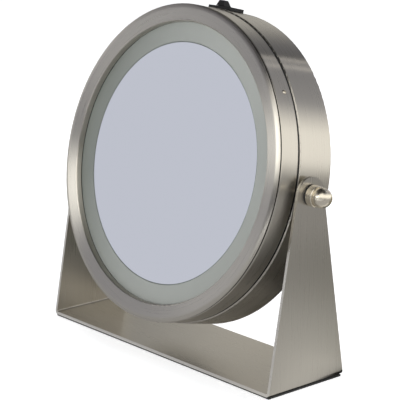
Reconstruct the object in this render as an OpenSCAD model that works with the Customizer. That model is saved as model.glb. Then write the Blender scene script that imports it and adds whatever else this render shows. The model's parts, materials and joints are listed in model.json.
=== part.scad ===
// Lighted vanity mirror: a round drum head that tilts between the arms of a bent sheet stand.
// Frame: X across the stand, -Y towards the user, Z up. The origin is on the table, under the pivot.
// Inside the head, depth is measured along the drum's axis from the pivot, positive towards the back.

/* [Stand] */
// Depth of the base plate, front to back
stand_d = 68.5; // [60:0.5:90]
// Thickness of the stand's sheet
sheet_t = 2; // [1.5:0.1:3]
// Inner radius of the two bends
bend_r = 1; // [0.5:0.5:6]
// Radius of the round end of each arm
arm_end_r = 11.8; // [10:0.1:16]
// Clear height between the base plate and the drum
floor_gap = 17.5; // [13:0.25:40]
// Clear width between the drum and each arm
side_gap = 4.5; // [2.5:0.25:8]
// Thickness of the pad under the base
pad_t = 1.5; // [1:0.1:4]
// Margin between the pad and the edges of the base
pad_inset = 1; // [0.5:0.1:5]

/* [Drum] */
// Diameter of the front bezel and the middle band
drum_d = 215.5; // [205:0.5:240]
// Thickness of the drum's sheet
skin_t = 1; // [0.8:0.1:1.2]
// How far the rear shell stands proud of the middle band
shell_step = 0.5; // [0.3:0.1:1]
// Width of the middle band
band_w = 14.9; // [13:0.1:22]
// Width of the rear shell
shell_w = 29.6; // [28:0.1:40]
// Width of the two dark seams
seam_w = 1.3; // [0.6:0.1:2]
// Distance of the pivot behind the front edge of the rear shell
pivot_setback = 6.3; // [6:0.1:8]
// Width of the rounded outer part of the bezel's face
rim_w = 3.5; // [2.5:0.1:5]
// Depth by which that part falls away towards its edge
rim_drop = 1.1; // [0.8:0.1:1.4]
// Radius of the rear shell's back edge
back_edge_r = 2; // [1.5:0.1:3]
// Lean of the head in the rest pose, in degrees
rest_tilt = 12.9; // [0:0.05:30]

/* [Mirror and light] */
// Width of the bezel's face, from its inner lip to the drum's outside
face_w = 11.85; // [10:0.05:13]
// Depth of the bezel's dish, from its front plane to the middle of its inner lip
dish = 1.9; // [1.2:0.1:3]
// Radius of the rolled inner lip
lip_r = 1; // [0.8:0.1:1.2]
// Depth of the bezel's inner flange, from the middle of its lip to the gasket
flange_l = 3.4; // [2.5:0.1:4]
// Thickness of the gasket behind the flange
gasket_t = 0.7; // [0.5:0.1:1.5]
// Thickness of the frosted ring
frost_t = 3; // [2:0.1:4]
// Width of the frosted ring that shows inside the lip
frost_w = 13.3; // [10:0.1:16]
// Thickness of the mirror
mirror_t = 4; // [3:0.1:5]
// How far the mirror's face lies behind the frosted ring's face
mirror_set = 0.1; // [0:0.05:1]
// Width of the ground bevel round the mirror
bevel_w = 0.4; // [0.2:0.1:1.5]
// Depth of the white light channel
channel_h = 10.6; // [8.5:0.1:11]
// Number of lamps round the channel
lamp_count = 24; // [12:2:36]

/* [Pivot] */
// Radius of the threaded stud
stud_r = 2.95; // [2.4:0.05:3.2]
// Pitch of the stud's thread
stud_pitch = 1; // [0.7:0.05:1.25]
// Length of stud inside the drum
stud_grip = 13; // [9:0.5:18]
// Radius of the threaded insert
insert_r = 4.2; // [4:0.1:4.3]
// Radius of the knob's barrel
barrel_r = 7; // [6:0.1:9]
// Length of the knob's barrel
barrel_l = 5.2; // [4.5:0.1:9]
// Radius of the knob's ball end
ball_r = 6.5; // [6.2:0.1:8]
// Thickness of the washer under the knob
washer_t = 1.2; // [0.8:0.1:2]

/* [Switch] */
// Width of the switch plate, across the drum
plate_w = 22; // [20:0.5:28]
// Depth of the switch plate, along the drum
plate_d = 13; // [11:0.5:16]
// Thickness of the switch plate
plate_t = 2; // [1.2:0.1:2.5]
// Distance of the switch's middle behind the front edge of the rear shell
switch_set = 13; // [10:0.5:16]
// Height of the sliding button above the plate
button_h = 4.3; // [3:0.1:6]
// Travel of the sliding button
button_travel = 5.6; // [4:0.1:6]

/* [Power] */
// Diameter of one battery cell
cell_d = 14.5; // [14:0.1:14.5]
// Length of one battery cell, with its nub
cell_l = 50.5; // [48:0.1:52]
// Number of cells, side by side
cell_count = 4; // [2:1:4]
// Height of the battery tray's middle above the pivot
tray_z = -20; // [-26:1:-14]
// Wall of the moulded plastic pieces
wall = 1.6; // [1.2:0.1:2]

/* [Hidden] */
$fn = 96;

// Clearances
run_c = 0.1;
fit_c = 0.05;
gap_c = 0.3;
// How far a cut runs past the face that it leaves
cut_over = 1;

// Stand, from the drum it holds
drum_r = drum_d / 2;
shell_r = drum_r + shell_step;
stand_w = 2 * (shell_r + side_gap + sheet_t);
arm_in = stand_w / 2 - sheet_t;
bend_out = bend_r + sheet_t;
pivot_h = pad_t + sheet_t + floor_gap + shell_r;
hole_r = stud_r + run_c;

// Stations along the drum's axis
shell_front = -pivot_setback;
shell_back = shell_front + shell_w;
band_back = shell_front - seam_w;
band_front = band_back - band_w;
bezel_back = band_front - seam_w;
rim_flat = 0.2;
bezel_front = bezel_back - rim_drop - rim_flat;
rim_r = (rim_w * rim_w + rim_drop * rim_drop) / (2 * rim_drop);
lip_mid = bezel_front + dish;
gasket_front = lip_mid + flange_l + fit_c;
frost_front = gasket_front + gasket_t;
frost_back = frost_front + frost_t;
mirror_front = frost_front + mirror_set;
mirror_back = mirror_front + mirror_t;
tape_t = 1;
tape_inset = 10;
seat_t = 2;
seat_inset = 2;
seat_front = mirror_back + tape_t;
plate_front = frost_back + channel_h;
plate_back = plate_front + seat_t;
inner_back = shell_back - skin_t;
front_edge_r = 0.8;
break_r = 0.4;

// Radii of the drum's inner pieces
lip_in = drum_r - face_w;
mirror_r = lip_in - frost_w;
frost_in = mirror_r + run_c;
ring_out = drum_r - skin_t - fit_c;
ring_t = 2.5;
ring_in = ring_out - ring_t;
skirt_out = ring_in - run_c;
skirt_in = skirt_out - skin_t;
frost_out = skirt_in - gap_c;
channel_t = 1.2;
channel_inset = 1.4;
channel_in = frost_in + channel_inset;
shell_in = shell_r - skin_t;
spigot_r = shell_in - run_c;
seam_depth = 0.3;
seam_r = drum_r - seam_depth;

// Lamps and their board
lamp_mid = (channel_in + frost_out) / 2;
board_t = 1.6;
lamp_size = [3.5, 2.8, 1.9];
channel_floor = plate_front - channel_t;
lead_hole_r = 3.2;
channel_side = channel_in + channel_t;

// Small screws in the middle band, and larger ones in the back
band_screw_clock = 34.4;
band_screw_inset = 6.1;
band_screw_s = band_back - band_screw_inset;
band_screw_turns = [0, 120, 240];
band_screw_r = 1.1;
band_head_r = 1.6;
band_head_h = 0.8;
back_screw_r = 1.45;
back_head_r = 3;
back_head_h = 1.6;
back_boss_r = 4;
back_screw_l = 12;
back_screw_inset = 15;
back_screw_pcr = shell_in - back_screw_inset;
back_screw_clocks = [50, 130, 270];

// Pivot boss and the stack of pieces outside it
boss_wall = 3;
boss_half = insert_r + boss_wall;
boss_out = sqrt(shell_in * shell_in - boss_half * boss_half) - gap_c;
stud_clear = 6;
insert_in = shell_in - stud_grip - stud_clear;
insert_out = sqrt(shell_in * shell_in - insert_r * insert_r) - run_c;
key_w = 3;
key_h = 0.5;
spacer_r = 3.6;
spacer_in = shell_r + fit_c;
spacer_out = arm_in - gap_c;
washer_in = stand_w / 2 + run_c;
washer_inset = 0.5;
washer_r = barrel_r - washer_inset;
knob_in = washer_in + washer_t + fit_c;
knob_floor = 1;
knob_bore_l = barrel_l - knob_floor;
neck_l = 0.9;
neck_inset = 0.7;
neck_r = ball_r - neck_inset;
ball_mid = knob_in + barrel_l + neck_l + sqrt(ball_r * ball_r - pow(ball_r - break_r, 2));

// Switch in the top of the rear shell
switch_s = shell_front + switch_set;
plate_top = shell_r + plate_t;
stem_w = 5.4;
stem_d = 3.6;
slot_w = stem_w + button_travel + 2 * gap_c;
slot_d = stem_d + 2 * gap_c;
foot_side = 1.2;
foot_end = 1;
foot_w = stem_w + 2 * foot_side;
foot_d = stem_d + 2 * foot_end;
foot_h = 1.4;
cavity_w = foot_w + button_travel + 2 * gap_c;
cavity_d = foot_d + 2 * gap_c;
box_wall = 1.4;
box_w = cavity_w + 2 * box_wall;
box_d = cavity_d + 2 * box_wall;
box_h = 13;
slot_t = 1.2;
cavity_top = shell_in - slot_t;
cavity_h = 4;
lug_w = 3;
lug_t = 0.8;
lug_h = 4;
lug_x = 5;
button_w = 8;
button_d = 7;
groove_w = 0.6;
groove_pitch = 1.35;

// Battery tray, let into the back
cell_play = 0.7;
cell_pitch = cell_d + cell_play;
spring_room = 7.2;
tray_in_w = cell_count * cell_pitch;
tray_in_h = cell_l + spring_room;
tray_w = tray_in_w + 2 * wall;
tray_h = tray_in_h + 2 * wall;
door_play = 0.8;
cell_back = inner_back - door_play;
cell_mid = cell_back - cell_d / 2;
floor_play = 0.2;
tray_floor = cell_back - cell_d - floor_play;
tray_front = tray_floor - wall;
ledge = 0.7;
door_w = tray_in_w + 2 * ledge;
door_h = tray_in_h + 2 * ledge;
contact_w = 9;
contact_d = 9.8;
contact_t = 0.5;
nub_r = 2.75;
nub_h = 1;
spring_wire = 0.45;
spring_wide = 4.3;
spring_narrow = 2.3;
post_r = 4;
post_inset = 9;
tray_post_x = tray_w / 2 - post_inset;
tray_post_z = tray_h / 2 - post_inset;
tray_rib_t = 1;
tray_rib_h = 3;
door_rib_t = 1.2;
door_rib_h = 2.4;
grip_count = 3;
grip_pitch = 2.5;
grip_t = 0.7;

// Driver board above the tray
driver_w = 44;
driver_h = 24;
driver_z = 44;
driver_lift = 4;
driver_front = plate_back + driver_lift;
driver_back = driver_front + board_t;
driver_post_r = 2.5;
driver_post_inset = 4;
driver_post_x = driver_w / 2 - driver_post_inset;
driver_post_z = driver_h / 2 - driver_post_inset;
coil_r = 5;
coil_h = 5.5;
can_r = 4;
can_h = 7;
chip_size = [6, 1.7, 5];
lead_r = 0.8;
lead_play = 0.2;
lead_block_d = 4;
lead_block_h = 4;
lead_block_side = 2.5;
lead_block_w = 2 * (lug_x + lead_block_side);
lead_s = driver_back + lead_block_d / 2;
lamp_lead_x = 1.4;
lamp_lead_slack = 0.6;

// Places its children in the head, at the rest pose
module in_head() {
    translate([0, 0, pivot_h]) rotate([-rest_tilt, 0, 0]) children();
}

// Turns a profile of radius and depth about the drum's axis
module drum_turn() {
    rotate([-90, 0, 0]) rotate_extrude() children();
}

// Places its children, drawn along +X, at a clock angle round the drum's axis
module at_clock(angle) {
    rotate([0, -angle, 0]) children();
}

// Turns a profile of radius and reach about the pivot axis, on the right side
module pivot_turn() {
    translate([0, 0, pivot_h]) rotate([0, 90, 0]) rotate_extrude() children();
}

// Rectangle from one corner to another
module area(low, high) {
    translate(low) square(high - low);
}

// Box from one corner to another
module block(low, high) {
    translate(low) cube(high - low);
}

// Quarter of a ring, in the quadrant that the signs name
module quarter_ring(outer, inner, sign_x, sign_y) {
    intersection() {
        difference() {
            circle(outer);
            if (inner > 0) circle(inner);
        }
        area([min(0, sign_x * outer), min(0, sign_y * outer)],
            [max(0, sign_x * outer), max(0, sign_y * outer)]);
    }
}

// Cross-section of the stand: base, two bends and two arms
module stand_section() {
    top = pivot_h + arm_end_r;
    corner = stand_w / 2 - bend_out;
    area([-corner, pad_t], [corner, pad_t + sheet_t]);
    for (side = [-1, 1]) {
        translate([side * corner, pad_t + bend_out]) quarter_ring(bend_out, bend_r, side, -1);
        area([min(side * arm_in, side * stand_w / 2), pad_t + bend_out],
            [max(side * arm_in, side * stand_w / 2), top]);
    }
}

// Side outline of the stand: tapered, with a round end about the pivot; the straight sides end
// a little inside the round, so that the two overlap
module stand_outline() {
    overlap = 0.02;
    foot = [stand_d / 2, pad_t - pivot_h];
    lean = atan2(foot.y, foot.x) + acos(arm_end_r / norm(foot));
    reach = arm_end_r - overlap;
    touch = [reach * cos(lean), pivot_h + reach * sin(lean)];
    polygon([[-foot.x, pad_t], [foot.x, pad_t], touch, [-touch.x, touch.y]]);
    translate([0, pivot_h]) circle(arm_end_r);
}

module stand_bracket() {
    color("silver")
    difference() {
        intersection() {
            translate([0, stand_d / 2, 0]) rotate([90, 0, 0]) linear_extrude(stand_d) stand_section();
            translate([-stand_w / 2, 0, 0]) rotate([90, 0, 90]) linear_extrude(stand_w) stand_outline();
        }
        for (side = [-1, 1])
            translate([side * (arm_in + sheet_t / 2), 0, pivot_h]) rotate([0, 90, 0])
                cylinder(r = hole_r, h = 2 * sheet_t, center = true);
    }
}

module base_pad() {
    half_w = stand_w / 2 - pad_inset;
    half_d = stand_d / 2 - pad_inset;
    color("black") block([-half_w, -half_d, 0], [half_w, half_d, pad_t]);
}

// Profile of the bezel: rounded rim, dished face, rolled lip, the flange that holds the glass
// and the skirt that enters the chassis
module bezel_profile() {
    rim = [drum_r - rim_w, bezel_front + rim_r];
    lip = [lip_in + lip_r, lip_mid];
    face_meet = 0.9 * lip_r;
    intersection() {
        translate(rim) difference() {
            circle(rim_r);
            circle(rim_r - skin_t);
        }
        area([rim.x, bezel_front], [drum_r, bezel_back]);
    }
    polygon([[rim.x, bezel_front], [rim.x, bezel_front + skin_t], lip + [0, skin_t / 2],
        lip - [0, face_meet]]);
    translate(lip) circle(lip_r);
    area([lip_in, lip_mid], [lip_in + skin_t, lip_mid + flange_l]);
    area([skirt_in, bezel_front + skin_t], [skirt_out, frost_front + frost_t / 2]);
}

module front_bezel() {
    color("silver") in_head() drum_turn() bezel_profile();
}

module glass_gasket() {
    color("dimgray") in_head() drum_turn()
        area([lip_in + gap_c, gasket_front], [frost_out, frost_front]);
}

module frosted_ring() {
    color("honeydew") in_head() drum_turn() area([frost_in, frost_front], [frost_out, frost_back]);
}

module mirror_disc() {
    color("lightsteelblue") in_head() drum_turn()
        polygon([[0, mirror_front], [mirror_r - bevel_w, mirror_front],
            [mirror_r, mirror_front + bevel_w / 2], [mirror_r, mirror_back], [0, mirror_back]]);
}

module mirror_tape() {
    color("whitesmoke") in_head() drum_turn()
        area([mirror_r / 2, mirror_back], [mirror_r - tape_inset, seat_front]);
}

// Cylinder along the drum's axis, from one depth to another
module axial(radius, from, to) {
    translate([0, from, 0]) rotate([-90, 0, 0]) cylinder(r = radius, h = to - from);
}

// Cylinder along +X, from one reach to another
module radial(radius, from, to) {
    translate([from, 0, 0]) rotate([0, 90, 0]) cylinder(r = radius, h = to - from);
}

// Bores for the small screws of the middle band
module band_screw_bores(from, to) {
    for (turn = band_screw_turns) at_clock(band_screw_clock + turn)
        translate([0, band_screw_s, 0]) radial(band_screw_r + fit_c, from, to);
}

// Moulded frame of the head: outer ring, mirror seat, pivot bosses, posts and screw bosses
module chassis() {
    seat_r = mirror_r - seat_inset;
    color("black") in_head() difference() {
        union() {
            drum_turn() {
                area([ring_in, bezel_back + fit_c], [ring_out, plate_back]);
                area([ring_in, band_back], [spigot_r, plate_back]);
                area([ring_in, band_back], [seam_r, shell_front - fit_c]);
                area([0, plate_front], [ring_in, plate_back]);
                area([0, seat_front], [seat_r, seat_front + seat_t]);
                area([seat_r - 2 * seat_t, seat_front + seat_t], [seat_r - seat_t, plate_front]);
            }
            for (side = [0, 180]) at_clock(side)
                block([insert_in, plate_front, -boss_half], [boss_out, insert_r + wall, boss_half]);
            for (clock = back_screw_clocks) at_clock(clock)
                translate([back_screw_pcr, 0, 0]) axial(back_boss_r, plate_front, inner_back);
            for (x = [-1, 1], z = [-1, 1]) {
                translate([x * tray_post_x, 0, tray_z + z * tray_post_z])
                    axial(post_r, plate_front, tray_front);
                translate([x * driver_post_x, 0, driver_z + z * driver_post_z])
                    axial(driver_post_r, plate_front, driver_front);
            }
        }
        for (side = [0, 180]) at_clock(side) radial(insert_r + fit_c, insert_in - cut_over, shell_r);
        for (clock = back_screw_clocks) at_clock(clock)
            translate([back_screw_pcr, 0, 0])
                axial(back_screw_r + fit_c, inner_back - back_screw_l, shell_back);
        band_screw_bores(ring_in - cut_over, drum_r);
        translate([0, 0, lamp_mid]) axial(lead_hole_r, plate_front - cut_over, plate_back + cut_over);
    }
}

module light_channel() {
    color("white") in_head() difference() {
        drum_turn() {
            area([channel_in, frost_back], [channel_side, channel_floor]);
            area([frost_out - channel_t, frost_back], [frost_out, channel_floor]);
            area([channel_in, channel_floor], [frost_out, plate_front]);
        }
        translate([0, 0, lamp_mid]) axial(lead_hole_r, channel_floor - cut_over, plate_front + cut_over);
    }
}

module lamp_board() {
    color("ivory") in_head() drum_turn()
        area([channel_side + gap_c, channel_floor - board_t],
            [frost_out - channel_t - gap_c, channel_floor]);
}

module lamps() {
    lamp_back = channel_floor - board_t;
    color("lightyellow") in_head()
        for (i = [0 : lamp_count - 1]) at_clock(i * 360 / lamp_count)
            block([lamp_mid - lamp_size.x / 2, lamp_back - lamp_size.z, -lamp_size.y / 2],
                [lamp_mid + lamp_size.x / 2, lamp_back, lamp_size.y / 2]);
}

// Dark ring that fills the seam between the bezel and the band
module seam_ring() {
    color("black") in_head() drum_turn()
        area([ring_out + fit_c, bezel_back + fit_c], [seam_r, band_front - fit_c]);
}

module middle_band() {
    inside = drum_r - skin_t;
    color("silver") in_head() difference() {
        drum_turn()
            polygon([[inside, band_front], [drum_r - break_r, band_front], [drum_r, band_front + break_r],
                [drum_r, band_back - break_r], [drum_r - break_r, band_back], [inside, band_back]]);
        band_screw_bores(ring_out, drum_r + cut_over);
    }
}

// Profile of a screw with a domed head, along its axis from its tip to the head's seat
module screw_profile(shank_r, tip, seat, head_r, head_h) {
    dome_r = (head_r * head_r + head_h * head_h) / (2 * head_h);
    area([0, tip], [shank_r, seat]);
    intersection() {
        translate([0, seat + head_h - dome_r]) circle(dome_r);
        area([0, seat], [head_r, seat + head_h]);
    }
}

// Small screws that hold the band to the chassis
module band_screws() {
    color("gainsboro") in_head()
        for (turn = band_screw_turns) at_clock(band_screw_clock + turn)
            translate([0, band_screw_s, 0]) rotate([0, 90, 0]) rotate_extrude()
                screw_profile(band_screw_r, ring_in + fit_c, drum_r + fit_c, band_head_r, band_head_h);
}

// Profile of the rear shell: eased front edge, wall, rounded back edge and back
module shell_profile() {
    back_edge = [shell_r - back_edge_r, shell_back - back_edge_r];
    front_edge = [shell_r - front_edge_r, shell_front + front_edge_r];
    translate(front_edge) quarter_ring(front_edge_r, 0, 1, -1);
    area([shell_in, shell_front], front_edge);
    area([shell_in, front_edge.y], [shell_r, back_edge.y]);
    translate(back_edge) quarter_ring(back_edge_r, back_edge_r - skin_t, 1, 1);
    area([0, inner_back], [back_edge.x, shell_back]);
}

module rear_shell() {
    color("silver") in_head() difference() {
        drum_turn() shell_profile();
        block([-box_w / 2 - fit_c, switch_s - box_d / 2 - fit_c, shell_r - box_h],
            [box_w / 2 + fit_c, switch_s + box_d / 2 + fit_c, shell_r + cut_over]);
        block([-door_w / 2 - gap_c, inner_back - cut_over, tray_z - door_h / 2 - gap_c],
            [door_w / 2 + gap_c, shell_back + cut_over, tray_z + door_h / 2 + gap_c]);
        for (side = [0, 180]) at_clock(side) radial(hole_r + run_c, insert_out, shell_r + cut_over);
        for (clock = back_screw_clocks) at_clock(clock)
            translate([back_screw_pcr, 0, 0])
                axial(back_screw_r + run_c, inner_back - cut_over, shell_back + cut_over);
    }
}

// Screws that hold the rear shell to the chassis
module back_screws() {
    color("gainsboro") in_head()
        for (clock = back_screw_clocks) at_clock(clock)
            translate([back_screw_pcr, 0, 0]) rotate([-90, 0, 0]) rotate_extrude()
                screw_profile(back_screw_r, inner_back - back_screw_l + cut_over, shell_back + fit_c,
                    back_head_r, back_head_h);
}

// Sideways place of a battery cell in the tray
function cell_x(i) = (i - (cell_count - 1) / 2) * cell_pitch;

// Direction in which a cell's nub points: cells lie head to tail
function cell_way(i) = i % 2 == 0 ? 1 : -1;

module battery_tray() {
    lead_bore = lead_r + lead_play;
    color("black") in_head() translate([0, 0, tray_z]) {
        difference() {
            block([-tray_w / 2, tray_front, -tray_h / 2], [tray_w / 2, inner_back, tray_h / 2]);
            block([-tray_in_w / 2, tray_floor, -tray_in_h / 2], [tray_in_w / 2, shell_back, tray_in_h / 2]);
            for (i = [0, cell_count - 1])
                translate([cell_x(i), cell_mid, 0]) cylinder(r = lead_bore, h = tray_h);
        }
        for (i = [0 : cell_count - 2])
            translate([cell_x(i) + cell_pitch / 2, 0, 0])
                block([-tray_rib_t / 2, tray_floor - wall / 2, -tray_in_h / 2],
                    [tray_rib_t / 2, tray_floor + tray_rib_h, tray_in_h / 2]);
    }
}

module battery_contacts() {
    color("gainsboro") in_head() translate([0, 0, tray_z])
        for (i = [0 : cell_count - 1], way = [0, 1])
            mirror([0, 0, way])
                translate([cell_x(i), cell_mid, tray_in_h / 2 - contact_t])
                    block([-contact_w / 2, -contact_d / 2, 0], [contact_w / 2, contact_d / 2, contact_t]);
}

// Closed tube of round section along a path; ref is a direction that the path never runs along
module tube(path, radius, sides, ref) {
    last = len(path) - 1;
    rings = [for (i = [0 : last])
        let (along = path[min(i + 1, last)] - path[max(i - 1, 0)],
            t = along / norm(along),
            c = cross(ref, t),
            u = c / norm(c),
            v = cross(t, u))
        for (k = [0 : sides - 1])
            path[i] + radius * (cos(k * 360 / sides) * u + sin(k * 360 / sides) * v)];
    skin = [for (i = [0 : last - 1], k = [0 : sides - 1])
        let (a = i * sides + k, b = i * sides + (k + 1) % sides)
        [a, a + sides, b + sides, b]];
    start = [for (k = [0 : sides - 1]) k];
    end = [for (k = [sides - 1 : -1 : 0]) last * sides + k];
    polyhedron(rings, concat([start], skin, [end]), convexity = 8);
}

// Conical coil springs between the cells' flat ends and their contacts
module battery_springs() {
    turns = 3;
    steps = 14;
    sides = 6;
    reach = tray_in_h - 2 * contact_t - cell_l - 2 * (spring_wire + fit_c);
    start = tray_in_h / 2 - contact_t - spring_wire - fit_c;
    coil = [for (i = [0 : turns * steps])
        let (f = i / (turns * steps), r = spring_wide + (spring_narrow - spring_wide) * f)
        [r * cos(360 * i / steps), r * sin(360 * i / steps), -start + reach * f]];
    color("silver") in_head() translate([0, cell_mid, tray_z])
        for (i = [0 : cell_count - 1])
            translate([cell_x(i), 0, 0]) rotate([cell_way(i) > 0 ? 0 : 180, 0, 0])
                tube(coil, spring_wire, sides, [0, 0, 1]);
}

module battery_cells() {
    top = tray_in_h / 2 - contact_t - fit_c;
    color("darkgoldenrod") in_head() translate([0, cell_mid, tray_z])
        for (i = [0 : cell_count - 1])
            translate([cell_x(i), 0, 0]) rotate([cell_way(i) > 0 ? 0 : 180, 0, 0]) rotate_extrude() {
                area([0, top - cell_l], [cell_d / 2, top - nub_h]);
                area([0, top - nub_h], [nub_r, top]);
            }
}

module battery_door() {
    rib_in = tray_in_w / 2 - gap_c - door_rib_t;
    color("black") in_head() translate([0, 0, tray_z]) {
        block([-door_w / 2, inner_back, -door_h / 2], [door_w / 2, shell_back, door_h / 2]);
        for (side = [0, 1]) mirror([side, 0, 0])
            block([rib_in, inner_back - door_rib_h, -door_h / 3],
                [rib_in + door_rib_t, inner_back, door_h / 3]);
        for (i = [0 : grip_count - 1])
            block([-door_w / 6, shell_back, door_h / 2 - grip_pitch * (i + 1) - grip_t],
                [door_w / 6, shell_back + grip_t, door_h / 2 - grip_pitch * (i + 1)]);
    }
}

module driver_board() {
    color("darkgreen") in_head()
        block([-driver_w / 2, driver_front, driver_z - driver_h / 2],
            [driver_w / 2, driver_back, driver_z + driver_h / 2]);
}

// Parts on the driver board: coil, capacitor, chip and two lead blocks
module driver_parts() {
    color("dimgray") in_head() translate([0, 0, driver_z]) {
        translate([-driver_w / 4, 0, 0]) axial(coil_r, driver_back, driver_back + coil_h);
        translate([driver_w / 4, 0, 0]) axial(can_r, driver_back, driver_back + can_h);
        translate([-chip_size.x / 2, driver_back, -chip_size.z / 2]) cube(chip_size);
        for (way = [0, 1]) mirror([0, 0, way])
            block([-lead_block_w / 2, driver_back, driver_h / 2 - lead_block_h],
                [lead_block_w / 2, driver_back + lead_block_d, driver_h / 2]);
    }
}

// Switch housing: a saddle plate on the drum and a box through it, slotted for the button
module switch_housing() {
    low = shell_r - box_h;
    color("black") in_head() translate([0, switch_s, 0]) difference() {
        union() {
            difference() {
                block([-plate_w / 2, -plate_d / 2, shell_in], [plate_w / 2, plate_d / 2, plate_top]);
                axial(shell_r + fit_c, -plate_d, plate_d);
            }
            block([-box_w / 2, -box_d / 2, low], [box_w / 2, box_d / 2, shell_r + plate_t / 2]);
        }
        block([-cavity_w / 2, -cavity_d / 2, cavity_top - cavity_h],
            [cavity_w / 2, cavity_d / 2, cavity_top]);
        block([-slot_w / 2, -slot_d / 2, cavity_top - cut_over],
            [slot_w / 2, slot_d / 2, plate_top + cut_over]);
    }
}

// Solder lugs under the switch housing
module switch_lugs() {
    top = shell_r - box_h;
    color("gainsboro") in_head()
        for (x = [-lug_x, 0, lug_x])
            block([x - lug_w / 2, switch_s - lug_t / 2, top - lug_h],
                [x + lug_w / 2, switch_s + lug_t / 2, top]);
}

// Sliding button: a wedge for the thumb, a stem through the slot and a foot under the plate
module switch_button() {
    rest_x = -button_travel / 2;
    low = plate_top + gap_c;
    high = plate_top + button_h;
    foot_top = cavity_top - gap_c;
    color("black") in_head() translate([rest_x, switch_s, 0]) {
        difference() {
            intersection() {
                rotate([90, 0, 0]) linear_extrude(2 * button_d, center = true)
                    polygon([[-button_w / 2, low], [button_w / 2, low],
                        [button_w / 6, high], [-button_w / 3, high]]);
                rotate([90, 0, 90]) linear_extrude(2 * button_w, center = true)
                    polygon([[-button_d / 2, low], [button_d / 2, low],
                        [button_d / 3, high], [-button_d / 3, high]]);
            }
            for (i = [-1 : 1])
                translate([i * groove_pitch - button_w / 12, 0, high])
                    block([-groove_w / 2, -button_d, -groove_w], [groove_w / 2, button_d, cut_over]);
        }
        block([-stem_w / 2, -stem_d / 2, foot_top - foot_h / 2],
            [stem_w / 2, stem_d / 2, low + button_h / 3]);
        block([-foot_w / 2, -foot_d / 2, foot_top - foot_h], [foot_w / 2, foot_d / 2, foot_top]);
    }
}

// Point at share f along a cubic curve with four control points
function curve_point(p, f) = pow(1 - f, 3) * p[0] + 3 * f * pow(1 - f, 2) * p[1]
    + 3 * f * f * (1 - f) * p[2] + pow(f, 3) * p[3];

// Insulated lead along a cubic curve in the plane of the drum's axis
module lead(control) {
    steps = 12;
    sides = 8;
    tube([for (i = [0 : steps]) curve_point(control, i / steps)], lead_r, sides, [1, 0, 0]);
}

// Leads from the switch down to the driver board
module switch_leads() {
    top = shell_r - box_h - lug_h - gap_c;
    bottom = driver_z + driver_h / 2 + gap_c;
    slack = (top - bottom) / 2;
    color("firebrick") in_head()
        for (x = [-lug_x, lug_x])
            lead([[x, switch_s, top], [x, switch_s, top - slack],
                [x, lead_s, bottom + slack], [x, lead_s, bottom]]);
}

// Leads from the end contacts of the tray up to the driver board
module battery_leads() {
    top = driver_z - driver_h / 2 - gap_c;
    bottom = tray_z + tray_in_h / 2 + gap_c;
    slack = (top - bottom) / 2;
    color("firebrick") in_head()
        for (way = [-1, 1]) {
            from = way * cell_x(cell_count - 1);
            to = way * lug_x;
            lead([[from, cell_mid, bottom], [from, cell_mid, bottom + slack], [to, lead_s, top - slack],
                [to, lead_s, top]]);
        }
}

// Leads from the driver board to the back of the lamp board
module lamp_leads() {
    bottom = driver_z + driver_h / 2 + gap_c;
    slack = (lamp_mid - bottom) * lamp_lead_slack;
    end = channel_floor + gap_c;
    color("firebrick") in_head()
        for (x = [-lamp_lead_x, lamp_lead_x])
            lead([[x, lead_s, bottom], [x, lead_s, bottom + slack],
                [x, lead_s, lamp_mid], [x, end, lamp_mid]]);
}

// Threaded insert in the chassis, with a groove that keys it into the moulding
module insert() {
    middle = (insert_in + insert_out) / 2;
    pivot_turn() difference() {
        area([hole_r, insert_in], [insert_r, insert_out]);
        area([insert_r - key_h, middle - key_w / 2], [insert_r + cut_over, middle + key_w / 2]);
    }
}

module spacer() {
    pivot_turn() area([hole_r, spacer_in], [spacer_r, spacer_out]);
}

module washer() {
    pivot_turn() area([hole_r, washer_in], [washer_r, washer_in + washer_t]);
}

module stud() {
    tip = shell_in - stud_grip;
    end = knob_in + knob_bore_l - fit_c;
    pivot_turn() polygon([[0, tip], [stud_r - stud_pitch / 2, tip], [stud_r, tip + stud_pitch / 2],
        [stud_r, end], [0, end]]);
}

// Turned knob: barrel with broken edges, a neck and a ball end
module knob() {
    barrel_out = knob_in + barrel_l;
    ball_in = barrel_out + neck_l;
    pivot_turn() difference() {
        union() {
            polygon([[0, knob_in], [barrel_r - break_r, knob_in], [barrel_r, knob_in + break_r],
                [barrel_r, barrel_out - break_r], [barrel_r - break_r, barrel_out], [0, barrel_out]]);
            area([0, barrel_out], [neck_r, ball_in]);
            intersection() {
                translate([0, ball_mid]) circle(ball_r);
                area([0, ball_in], [ball_r, ball_mid + ball_r]);
            }
        }
        area([0, knob_in], [stud_r + fit_c, knob_in + knob_bore_l]);
    }
}

module right_insert() { color("gold") insert(); }
module left_insert() { color("gold") mirror([1, 0, 0]) insert(); }
module right_spacer() { color("dimgray") spacer(); }
module left_spacer() { color("dimgray") mirror([1, 0, 0]) spacer(); }
module right_washer() { color("black") washer(); }
module left_washer() { color("black") mirror([1, 0, 0]) washer(); }
module right_stud() { color("gainsboro") stud(); }
module left_stud() { color("gainsboro") mirror([1, 0, 0]) stud(); }
module right_knob() { color("palegoldenrod") knob(); }
module left_knob() { color("palegoldenrod") mirror([1, 0, 0]) knob(); }

stand_bracket();
base_pad();
front_bezel();
glass_gasket();
frosted_ring();
mirror_disc();
mirror_tape();
chassis();
light_channel();
lamp_board();
lamps();
seam_ring();
middle_band();
band_screws();
rear_shell();
back_screws();
battery_tray();
battery_contacts();
battery_springs();
battery_cells();
battery_door();
driver_board();
driver_parts();
switch_housing();
switch_lugs();
switch_button();
switch_leads();
battery_leads();
lamp_leads();
right_insert();
left_insert();
right_spacer();
left_spacer();
right_washer();
left_washer();
right_stud();
left_stud();
right_knob();
left_knob();
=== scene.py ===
import json
import math

import bmesh
import bpy
from mathutils import Matrix, Vector

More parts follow.
